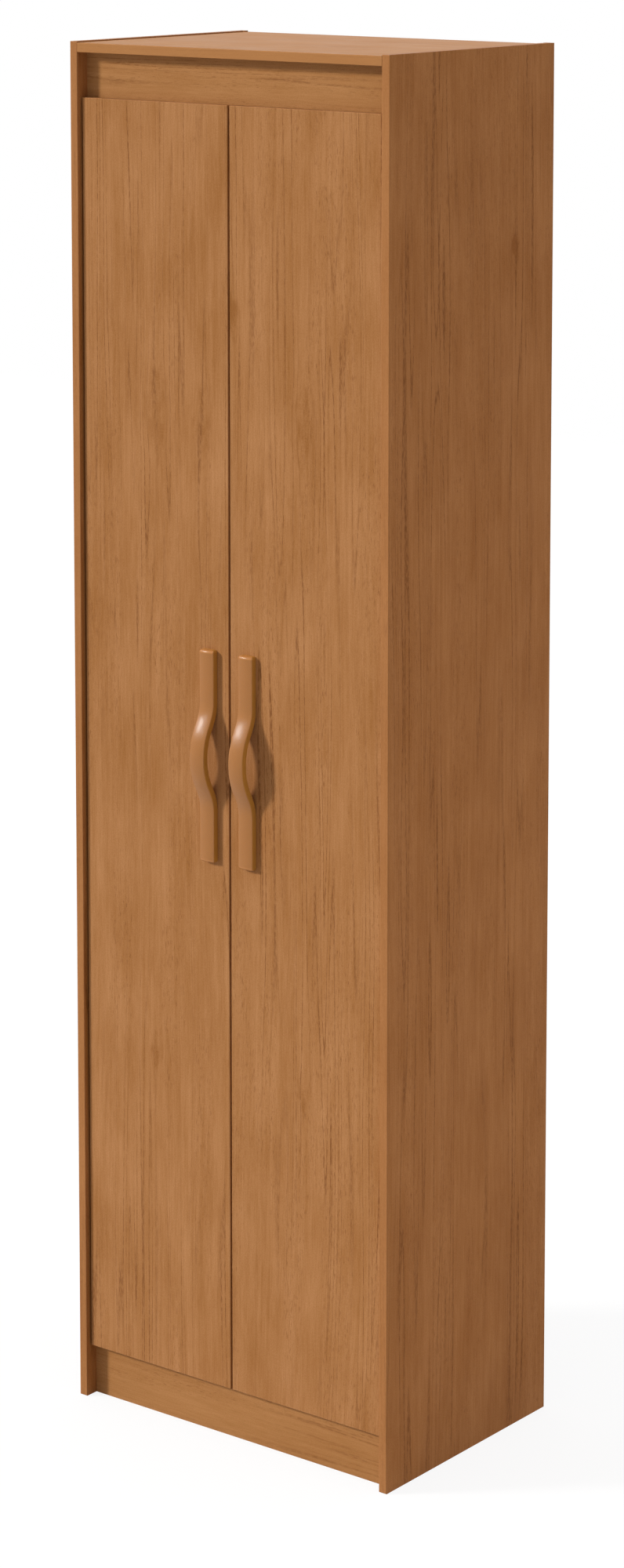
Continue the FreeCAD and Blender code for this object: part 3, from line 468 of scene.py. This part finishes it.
stripPlastic = {
    "color": tint(158, 108, 68),
    "darker": 0.86,
    "cloudScale": 25.0,
    "cloudTone": 0.7,
    "grainSize": 0.0006,
    "grainTone": 0.3,
    "roughness": 0.42,
    "grainRough": 0.14,
    "specular": 0.45,
    "bump": 0.00003,
}


# Moulded plastic in one colour with a very fine grain, for the strip between the backs.
def stripMaterial():
    s = stripPlastic
    material, tree, shader = newMaterial("stripPlastic", **{"Specular IOR Level": s["specular"]})
    source = objectPlace(tree)
    cloud = noise(tree, scaled(tree, source, (s["cloudScale"],) * 3), detail=3.0)
    fine = noise(tree, scaled(tree, source, (1 / s["grainSize"],) * 3))
    shade = swings(tree, 0.5, (cloud, s["cloudTone"]), (fine, s["grainTone"]))
    tree.links.new(mixColor(tree, shade, dimmed(s["color"], s["darker"]), s["color"]),
                   shader.inputs["Base Color"])
    tree.links.new(swings(tree, s["roughness"], (fine, s["grainRough"])), shader.inputs["Roughness"])
    addBump(tree, shader, fine, s["bump"])
    return material


dress("back_joint_strip", stripMaterial())

metalSkin = {
    "spotScale": 160.0,
    "spotRange": (0.52, 0.7),
    "darker": 0.72,
    "spotTone": 0.5,
    "skinTone": 0.25,
    "spotRough": 0.1,
    "skinRough": 0.16,
}
metals = {
    "nickelSteel": {"color": tint(205, 203, 198), "roughness": 0.24,
                    "grain": (300.0, 3000.0, 300.0), "bump": 0.00001},
    "zincSteel": {"color": tint(196, 198, 202), "roughness": 0.3,
                  "grain": (1800.0, 1800.0, 1800.0), "bump": 0.00001},
    "castZinc": {"color": tint(150, 150, 152), "roughness": 0.5,
                 "grain": (900.0, 900.0, 900.0), "bump": 0.00003},
}


# Plated or cast metal: faint brushing or casting skin and a few dull spots.
def metalMaterial(name, color, roughness, grain, bump):
    m = metalSkin
    material, tree, shader = newMaterial(name, Metallic=1.0)
    source = objectPlace(tree)
    skin = noise(tree, scaled(tree, source, grain), detail=3.0, roughness=0.6)
    spots = noise(tree, scaled(tree, source, (m["spotScale"],) * 3), detail=3.0, roughness=0.7)
    dull = ramp(tree, spots, *m["spotRange"])
    worn = calc(tree, "MULTIPLY_ADD", dull, m["spotTone"], calc(tree, "MULTIPLY", skin, m["skinTone"]))
    tree.links.new(mixColor(tree, worn, color, dimmed(color, m["darker"])), shader.inputs["Base Color"])
    rough = swings(tree, roughness, (skin, m["skinRough"]))
    rough = calc(tree, "MULTIPLY_ADD", dull, m["spotRough"], rough)
    tree.links.new(rough, shader.inputs["Roughness"])
    addBump(tree, shader, skin, bump)
    return material


nickelSteel, zincSteel, castZinc = (metalMaterial(name, **look) for name, look in metals.items())
dress("cam_locks", castZinc)
for node in ("cam_bolts", "shelf_pins"):
    dress(node, zincSteel)
for side in ("left", "right"):
    for node in ("hinge_plates", "hinge_arms", "hinge_cups", "inner_links", "outer_links"):
        dress(f"{side}_{node}", nickelSteel)
    for node in ("arm_pins", "cup_pins"):
        dress(f"{side}_{node}", zincSteel)


beech = {
    "light": tint(214, 178, 136),
    "dark": tint(176, 134, 92),
    "fleckScale": (300.0, 1500.0, 1500.0),
    "roughness": 0.6,
    "bump": 0.00005,
}


# Bare beech with short fine flecks, for the dowels.
def beechMaterial():
    material, tree, shader = newMaterial("bareBeech", Roughness=beech["roughness"])
    place = scaled(tree, objectPlace(tree), beech["fleckScale"])
    fleck = noise(tree, place, detail=3.0, roughness=0.6)
    tree.links.new(mixColor(tree, fleck, beech["dark"], beech["light"]), shader.inputs["Base Color"])
    addBump(tree, shader, fleck, beech["bump"])
    return material


dress("dowels", beechMaterial())
print("back, plastic and metal dressed")


sharpAngle = 40     # degrees; sharper edges aren't shaded smooth


# Puts points and faces into a new mesh object at the origin, with a UV map and a value
# for each point where they are given.
def meshPiece(name, points, faces, uvs=None, values=None):
    mesh = bpy.data.meshes.new(name)
    mesh.from_pydata(points.tolist(), [], faces)
    if uvs is not None:
        layer = mesh.uv_layers.new(name="strip")
        corners = np.zeros(len(mesh.loops), dtype=int)
        mesh.loops.foreach_get("vertex_index", corners)
        layer.data.foreach_set("uv", uvs[corners].ravel())
    for label, numbers in (values or {}).items():
        mesh.attributes.new(label, "FLOAT", "POINT").data.foreach_set("value", numbers)
    mesh.shade_smooth()
    mesh.set_sharp_from_angle(angle=math.radians(sharpAngle))
    mesh.update()
    piece = bpy.data.objects.new(name, mesh)
    bpy.context.scene.collection.objects.link(piece)
    return piece


# Quads of a grid of points whose rows close on themselves.
def ringQuads(rows, columns):
    index = np.arange(rows * columns).reshape(rows, columns)
    following = np.roll(index, -1, 1)
    return np.stack([index[:-1], following[:-1], following[1:], index[1:]], 2).reshape(-1, 4)


hingeLevels = np.array([0.1695, 0.899, 1.6285])     # middles of the three hinges


# Levels above and below each hinge's middle.
def aboutHinges(distance):
    return np.concatenate([hingeLevels - distance, hingeLevels + distance])


# Left-hand screws, in metres: the seat under the head, the way the head faces, sizes.
screwSets = {
    "handle_screws": {"body": "door_set", "facing": (0, 1, 0), "seat": (-0.0314, -0.14305),
                      "levels": np.array([0.7895, 1.0135]), "head": 0.0076, "headHeight": 0.0022,
                      "shank": 0.004, "length": 0.019},
    "plate_screws": {"body": "carcass", "facing": (1, 0, 0), "seat": (-0.241, -0.10605),
                     "levels": aboutHinges(0.016), "head": 0.006, "headHeight": 0.0018,
                     "shank": 0.0032, "length": 0.011},
    "arm_screws": {"body": "carcass", "facing": (1, 0, 0), "seat": (-0.2325, -0.10605),
                   "levels": hingeLevels, "head": 0.006, "headHeight": 0.0016,
                   "shank": 0.004, "length": 0.0075},
    "cup_screws": {"body": "door_set", "facing": (0, 1, 0), "seat": (-0.2209, -0.14305),
                   "levels": aboutHinges(0.019), "head": 0.0052, "headHeight": 0.0012,
                   "shank": 0.003, "length": 0.009},
}
screwForm = {        # shares of the head's half width, of its height or of the shank
    "dome": (0.05, 0.94, 17),           # from, to and rings
    "domeBase": 0.72,
    "domeRise": 0.28,
    "domeCurve": 0.9,
    "rim": ((0.985, 0.76), (1, 0.66), (1, 0.08), (0.98, 0)),    # width and height
    "tipWidth": 0.6,
    "tipLength": 0.0015,                # metres
    "armWidth": 0.17,
    "armReach": 0.62,
    "soft": 0.09,
    "depth": 0.62,
    "middleDepth": 1.15,
    "slope": 0.75,
    "turns": 40,
}


# One screw about its axis w, head upward: a profile of radius r and height h turned
# through a full circle. The head is domed, h = H (0.72 + 0.28 sqrt(1 - 0.9 r^2)), less a
# cross: where the smaller of |x| and |y| is under half the arm's width and the larger is
# under the arm's reach, the head is 0.62 H (1.15 - 0.75 larger) lower. All are shares of
# the head's half width.
def screwShape(head, headHeight, shank, length):
    form = screwForm
    half, turns = head / 2, form["turns"]
    share = np.linspace(*form["dome"])
    curve = np.sqrt(1 - form["domeCurve"] * share ** 2)
    dome = headHeight * (form["domeBase"] + form["domeRise"] * curve)
    rimWidth, rimHeight = np.array(form["rim"]).T
    radius = np.concatenate([half * share, half * rimWidth,
                             np.array([0.5, 0.5, form["tipWidth"] / 2]) * shank])
    height = np.concatenate([dome, rimHeight * headHeight,
                             np.array([0, form["tipLength"] - length, -length])])
    angle = np.linspace(0, 2 * math.pi, turns, endpoint=False)
    x, y = radius[:, None] * np.cos(angle), radius[:, None] * np.sin(angle)
    narrow, reach = np.minimum(abs(x), abs(y)) / half, np.maximum(abs(x), abs(y)) / half

    def inside(value, limit):
        step = np.clip((limit - value) / form["soft"] + 0.5, 0, 1)
        return step * step * (3 - 2 * step)

    hollow = inside(narrow, form["armWidth"] / 2 + form["soft"] / 2) * inside(reach, form["armReach"])
    deep = form["depth"] * headHeight * (form["middleDepth"] - form["slope"] * reach) * hollow
    deep[len(share):] = 0
    w = height[:, None] - deep
    ring = np.stack([x, y, w], 2).reshape(-1, 3)
    middle = dome[0] - form["depth"] * headHeight * form["middleDepth"]
    poles = np.array([(0, 0, middle), (0, 0, -length)])
    return np.concatenate([ring, poles]), len(radius), turns


def screwPiece(name, look, mirrored):
    points, rows, turns = screwShape(look["head"], look["headHeight"], look["shank"], look["length"])
    flip = -1 if mirrored else 1
    facing = np.array(look["facing"]) * (flip, 1, 1)
    upward = np.array([0, 0, 1])
    base = points @ np.stack([upward, np.cross(facing, upward), facing])
    seats = np.array([(look["seat"][0] * flip, look["seat"][1], level) for level in look["levels"]])
    quads = ringQuads(rows, turns)[:, ::-1]
    around = np.arange(turns)
    top = np.stack([np.full(turns, rows * turns), around, np.roll(around, -1)], 1)
    last = (rows - 1) * turns
    tip = np.stack([np.full(turns, rows * turns + 1), last + np.roll(around, -1), last + around], 1)
    faces = [(part + len(points) * number).tolist() for number in range(len(seats))
             for part in (quads, top, tip)]
    return meshPiece(name, (base[None] + seats[:, None]).reshape(-1, 3), sum(faces, []))


for side in ("left", "right"):
    for kind, look in screwSets.items():
        name = side + kind.split("_")[0].title() + "Screws"
        screws = screwPiece(name, look, side == "right")
        screws.data.materials.append(zincSteel)
        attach(screws, "carcass" if look["body"] == "carcass" else f"{side}_{look['body']}")
        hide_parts(f"{side}_{kind}")
print("screws made")


bowHandle = {
    "length": 0.275,
    "width": 0.0226,
    "thickness": 0.0095,
    "bowLength": 0.140,
    "bowRise": 0.020,
    "footRadius": 0.055,
    "crestRadius": 0.100,
    "crown": 0.0014,             # how much lower the front is at its long edges
    "endRounding": 0.004,        # front edge of each end
    "cornerRounding": 0.003,     # corners of the outline
    "edgeRounding": 0.0011,      # long front edges
    "backRounding": 0.0004,
    "rows": {"flank": 150, "flat": 126, "end": 12},
    "columns": 50,
    "cornerSteps": 6,
    "forward": (1.6, -0.4),      # times the slope's sine, and plus
    "knurlAcross": 1.9,          # millimetres between grooves
    "knurlAlong": 2.4,
    "knurlDepth": 0.00008,
    "smoothEnd": 0.0036,         # plain strips at the ends and along the edges
    "smoothEdge": 0.0006,
    "endFade": 0.0005,
    "edgeFade": 0.0004,
    "color": tint(179, 119, 62),
    # Painted shade: a separate copy of the plastic's colour for sides and back, tuned to how the sides
    # look in shade.
    "shadeMatchedSideColor": tint(181, 127, 56),
    # Painted shade: share of the plastic's colour kept in the knurl's grooves.
    "paintedGrooveShade": 0.58,
    "fineScale": 1400.0,
    "fineShade": 0.12,
    "fineHeight": 0.2,
    "roughness": 0.25,
    "grooveRough": 0.1,
    "marks": 0.12,
    "specular": 0.3,
    "bump": 0.00004,
}


# Middle line of the handle's upper half. The flank is the cubic curve from the crest to
# the foot whose end tangents are upright: height 3(1-t)^2 t c + 3(1-t) t^2 (h-f) + t^3 h and
# distance off the door rise (1-t)^2 (1+2t), with c and f = sqrt(2 rise radius / 3). A
# straight foot follows. Gives height, distance and lean.
def bowLine():
    b = bowHandle
    half, rise = b["bowLength"] / 2, b["bowRise"]
    crest = math.sqrt(2 * rise * b["crestRadius"] / 3)
    foot = math.sqrt(2 * rise * b["footRadius"] / 3)
    t = np.linspace(0, 1, b["rows"]["flank"])
    high = 3 * (1 - t) ** 2 * t * crest + 3 * (1 - t) * t ** 2 * (half - foot) + t ** 3 * half
    upward = 3 * (1 - t) ** 2 * crest + 6 * (1 - t) * t * (half - foot - crest) + 3 * t ** 2 * foot
    off = rise * (1 - t) ** 2 * (1 + 2 * t)
    lean = np.arctan2(6 * rise * t * (1 - t), upward)
    end = b["length"] / 2
    ring = end - b["endRounding"] * (1 - np.sin(np.linspace(0, math.pi / 2, b["rows"]["end"])))
    flat = np.concatenate([np.linspace(half, ring[0], b["rows"]["flat"])[1:-1], ring])
    high = np.concatenate([high, flat])
    off = np.concatenate([off, np.zeros(len(flat))]) + b["thickness"] / 2
    lean = np.concatenate([lean, np.zeros(len(flat))])
    mirrorOf = slice(None, 0, -1)
    return (np.concatenate([-high[mirrorOf], high]), np.concatenate([off[mirrorOf], off]),
            np.concatenate([-lean[mirrorOf], lean]))


# Rounded rectangle as a closed loop. Gives place across, height from the back and how far
# the point faces forward: 1.6 sin(slope) - 0.4, held between 0 at the side and 1 in front.
def barSection():
    b = bowHandle
    halfWide, thick = b["width"] / 2, b["thickness"]
    lip, back = b["edgeRounding"], b["backRounding"]
    gain, base = b["forward"]
    loops = []
    for signX, radius, centreOut, start in ((1, back, back, -90), (1, lip, thick - lip, 0),
                                            (-1, lip, thick - lip, 90), (-1, back, back, 180)):
        angle = np.radians(np.linspace(start, start + 90, b["cornerSteps"]))
        loops.append(np.stack([signX * (halfWide - radius) + radius * np.cos(angle),
                               centreOut + radius * np.sin(angle),
                               np.clip(np.sin(angle) * gain + base, 0, 1)], 1))
    across = np.linspace(loops[1][-1, 0], loops[2][0, 0], b["columns"])[1:-1]
    front = np.stack([across, np.full(len(across), thick), np.ones(len(across))], 1)
    loop = np.concatenate([loops[0], loops[1], front, loops[2], loops[3]])
    return loop[:, 0], loop[:, 1], loop[:, 2] * (loop[:, 1] > thick / 2)


# The bar's skin: each point of the section carried along the middle line, its thickness
# and width eased in near the ends by quarter circles. The front is lowered by
# crown (x / half width)^2 and in the knurl's grooves. The UV map is millimetres across and
# along the front.
def bowPiece(name, centreX, faceY, centreZ):
    b = bowHandle
    high, off, lean = bowLine()
    across, out, forward = barSection()
    gap = b["length"] / 2 - abs(high)
    step = np.concatenate([[0], np.cumsum(np.hypot(np.diff(high), np.diff(off)))])
    along = step - step[-1] / 2

    def eased(radius):
        inside = np.clip(radius - gap, 0, radius)
        return radius - np.sqrt(radius ** 2 - inside ** 2)

    halfWide = b["width"] / 2
    wide = (halfWide - eased(b["cornerRounding"])) / halfWide
    thick = (b["thickness"] - eased(b["endRounding"])) / b["thickness"]
    u, v = across[None, :] * 1000, along[:, None] * 1000
    waves = [abs(np.sin(math.pi * (u / b["knurlAcross"] + sign * v / b["knurlAlong"])))
             for sign in (1, -1)]
    ridge = np.clip(np.minimum(*waves) / ridgeTop, 0, 1)
    fromEnd = np.clip((gap - b["smoothEnd"]) / b["endFade"], 0, 1)[:, None]
    fromEdge = np.clip((halfWide - b["smoothEdge"] - abs(across)) / b["edgeFade"], 0, 1)[None, :]
    worked = fromEnd * fromEdge * forward[None, :]
    crown = b["crown"] * (across / halfWide) ** 2 * (out > b["thickness"] / 2)
    carved = b["knurlDepth"] * (1 - ridge) * worked
    rise = (out - crown)[None, :] * thick[:, None] - carved - b["thickness"] / 2
    points = np.stack([centreX + across[None, :] * wide[:, None],
                       faceY - (off[:, None] + rise * np.cos(lean)[:, None]),
                       centreZ + high[:, None] + rise * np.sin(lean)[:, None]], 2)
    rows, columns = rise.shape
    uv = np.stack(np.broadcast_arrays(u, v), 2).reshape(-1, 2)
    index = np.arange(rows * columns).reshape(rows, columns)
    faces = ringQuads(rows, columns).tolist() + [index[0][::-1].tolist(), index[-1].tolist()]
    front = np.broadcast_to(forward[None, :], rise.shape)
    return meshPiece(name, points.reshape(-1, 3), faces, uv,
                     {"front": front.ravel(), "worked": worked.ravel()})


# Handle plastic: painted shade darkens the knurl's grooves, and its sides and back get their own
# plainer, yellower colour, set to match the sides as they look in shade.
def handleMaterial():
    b = bowHandle
    material, tree, shader = newMaterial("handlePlastic", **{"Specular IOR Level": b["specular"]})
    strip = addNode(tree, "UVMap", uv_map="strip").outputs[0]
    front = addNode(tree, "Attribute", attribute_name="front").outputs["Fac"]
    worked = addNode(tree, "Attribute", attribute_name="worked").outputs["Fac"]
    height = useGroup(tree, knurl, {"Vector": strip, "Across": b["knurlAcross"],
                                    "Along": b["knurlAlong"]})["Height"]
    cut = calc(tree, "MULTIPLY", calc(tree, "SUBTRACT", 1.0, height), worked)
    # Painted shade: the knurl's grooves are coloured darker than the plastic.
    face = mixColor(tree, cut, b["color"], dimmed(b["color"], b["paintedGrooveShade"]))
    source = objectPlace(tree)
    fine = noise(tree, scaled(tree, source, (b["fineScale"],) * 3))
    # Painted shade: faces that turn sideways take the copy tuned to the shaded sides.
    face = mixColor(tree, front, b["shadeMatchedSideColor"], face)
    darker = mixColor(tree, 1.0, face, face)
    darker.node.blend_type = "MULTIPLY"
    shade = calc(tree, "MULTIPLY", fine, b["fineShade"])
    tree.links.new(mixColor(tree, shade, face, darker), shader.inputs["Base Color"])
    marks = useGroup(tree, handlingMarks, {"Vector": source, "Amount": b["marks"]})["Value"]
    rough = calc(tree, "ADD", marks, calc(tree, "MULTIPLY_ADD", cut, b["grooveRough"], b["roughness"]))
    tree.links.new(rough, shader.inputs["Roughness"])
    relief = calc(tree, "MULTIPLY", height, worked)
    addBump(tree, shader, calc(tree, "MULTIPLY_ADD", fine, b["fineHeight"], relief), b["bump"])
    return material


handleSkin = handleMaterial()
for side in ("left", "right"):
    node = f"{side}_handle"
    low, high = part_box(node)
    handle = bowPiece(f"{side}BowHandle", (low[0] + high[0]) / 2, high[1], (low[2] + high[2]) / 2)
    handle.data.materials.append(handleSkin)
    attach(handle, f"{side}_door_set")
    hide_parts(node)
print("handles made")


view = {
    "place": (3.0182, -3.8416, 2.0609),
    "azimuth": 38.0578,          # degrees
    "pitch": 7.0853,
    "lens": 88.449,              # millimetres
    "sensor": 36,
    "shiftY": -0.30,
    "near": 0.1,
    "far": 60,
}
camera = bpy.data.cameras.new("viewCamera")
camera.sensor_width = view["sensor"]
camera.lens = view["lens"]
camera.shift_y = view["shiftY"]
camera.clip_start, camera.clip_end = view["near"], view["far"]
cameraObject = bpy.data.objects.new("viewCamera", camera)
cameraObject.location = view["place"]
cameraObject.rotation_euler = (math.radians(90 - view["pitch"]), 0, math.radians(view["azimuth"]))
bpy.context.scene.collection.objects.link(cameraObject)
bpy.context.scene.camera = cameraObject

# Azimuth is in degrees from straight ahead, and angle is how wide the lamp looks.
studio = {
    "key": {"azimuth": -48, "height": 24, "power": 2.75, "angle": 9.5},
    "gloss": {"azimuth": -52, "height": 31, "power": 2.4, "angle": 9},
    "overhead": {"azimuth": 0, "height": 90, "power": 0.98, "angle": 30},
    "lowLamp": {"place": (2.75, 0.02, 0.5), "power": 10.9, "size": 0.9},
    "fill": 0.44,
    "floorColor": (0.57, 0.57, 0.57, 1),
    "floorSize": 14,
    "shadowShare": 0.25,
    "floorGlow": 1.15,
}


# 1 for rays from the camera, from gloss or through glass, and 0 for soft light.
def seenDirectly(tree):
    path = addNode(tree, "LightPath").outputs
    return calc(tree, "MAXIMUM", path["Is Camera Ray"],
                calc(tree, "MAXIMUM", path["Is Glossy Ray"], path["Is Transmission Ray"]))


def addLamp(name, kind, power, turn):
    lamp = bpy.data.lights.new(name, kind)
    lamp.energy = power
    lampObject = bpy.data.objects.new(name, lamp)
    lampObject.rotation_euler = turn
    bpy.context.scene.collection.objects.link(lampObject)
    return lamp, lampObject


# Soft key light from the front left, with its gloss from a lamp a little higher, a weaker
# light from above, a low lamp that faces the right side and an even white surround.
def lightStudio():
    for name in ("key", "gloss", "overhead"):
        look = studio[name]
        turn = (math.radians(90 - look["height"]), 0, math.radians(look["azimuth"]))
        lamp, lampObject = addLamp(name + "Light", "SUN", look["power"], turn)
        lamp.angle = math.radians(look["angle"])
        lampObject.visible_glossy = name != "key"
        lampObject.visible_diffuse = name != "gloss"
    look = studio["lowLamp"]
    lamp, lampObject = addLamp("lowLamp", "AREA", look["power"], (0, math.pi / 2, 0))   # toward -X
    lamp.size = look["size"]
    lampObject.location = look["place"]
    lampObject.visible_camera = lampObject.visible_glossy = False
    world = bpy.data.worlds.new("studioWorld")
    bpy.context.scene.world = world
    world.use_nodes = True
    tree = world.node_tree
    tree.nodes.clear()
    strength = calc(tree, "MULTIPLY_ADD", seenDirectly(tree), 1 - studio["fill"], studio["fill"])
    glow = addNode(tree, "Background", {"Color": (1, 1, 1, 1), "Strength": strength})
    addNode(tree, "OutputWorld", {"Surface": glow.outputs[0]})


# Pale floor that stays white in view, with a light shadow under the cupboard.
def layFloor():
    size = studio["floorSize"] / 2
    corners = np.array([(-size, -size, 0), (size, -size, 0), (size, size, 0), (-size, size, 0)])
    floor = meshPiece("studioFloor", corners, [(0, 1, 2, 3)])
    material, tree = emptyMaterial("floorPaper")
    paper = addNode(tree, "BsdfDiffuse", {"Color": studio["floorColor"]})
    bright = addNode(tree, "Emission", {"Color": (1, 1, 1, 1), "Strength": studio["floorGlow"]})
    share = calc(tree, "MULTIPLY", seenDirectly(tree), 1 - studio["shadowShare"])
    mixed = addNode(tree, "MixShader", {0: share, 1: paper.outputs[0], 2: bright.outputs[0]})
    addNode(tree, "OutputMaterial", {"Surface": mixed.outputs[0]})
    floor.data.materials.append(material)


lightStudio()
layFloor()
bpy.context.scene.view_settings.view_transform = "Standard"
print("camera, light and floor set")
